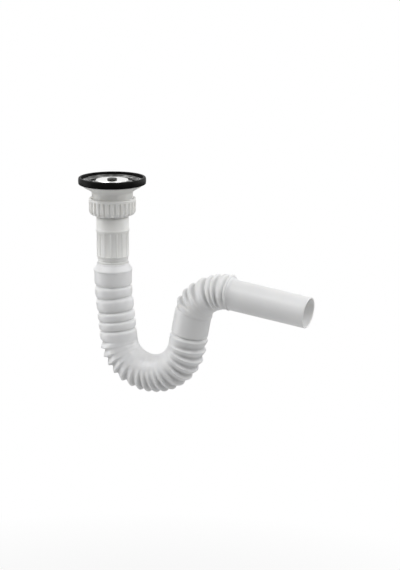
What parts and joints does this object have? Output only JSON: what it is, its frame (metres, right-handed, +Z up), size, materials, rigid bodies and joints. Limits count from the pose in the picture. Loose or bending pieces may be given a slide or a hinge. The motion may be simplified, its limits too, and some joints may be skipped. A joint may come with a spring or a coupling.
{
  "type": "flexible sink trap",
  "caption": "Flexible sink trap: a screwed waste with a strainer and rubber washer, a ribbed union nut, a straight tailpiece and a bellows hose bent into a U with a plain outlet tube.",
  "frame": {"origin": "centre of the rubber washer's top face, on the waste's axis", "axes": "+Z up along the waste's axis, out of the sink; +X towards the outlet; Y across, with the trap alike on both sides of the XZ plane"},
  "size_m": [0.2564, 0.07, 0.2242],
  "materials": {
    "washer_rubber": "satin",
    "strainer_steel": "polished",
    "screw_steel": "polished",
    "insert_brass": "machined",
    "white_plastic": "semi-gloss",
    "seal_rubber": "matt",
    "hose_plastic": "semi-gloss"
  },
  "bodies": {
    "waste": {"waste_body": "white_plastic", "strainer": "strainer_steel", "sink_washer": "washer_rubber", "centre_screw": "screw_steel", "insert_nut": "insert_brass"},
    "seal": {"tail_washer": "seal_rubber"},
    "nut": {"union_nut": "white_plastic"},
    "tail": {"tailpiece": "white_plastic", "hose": "hose_plastic"}
  },
  "joints": [
    {"name": "joint_drop", "type": "slide", "parent": "waste", "child": "seal", "axis": [0, 0, -1], "range_m": [0, 0.00693]},
    {"name": "nut_turn", "type": "hinge", "parent": "seal", "child": "nut", "pos_m": [0, 0, -0.03065], "axis": [0, 0, -1], "range_deg": [0, 1080]},
    {"name": "hose_swivel", "type": "hinge", "parent": "seal", "child": "tail", "pos_m": [0, 0, -0.0341], "axis": [0, 0, 1], "continuous": true}
  ],
  "couplings": [
    {"joint": "nut_turn", "follows": "joint_drop", "rad_per_m": 2721.2}
  ]
}
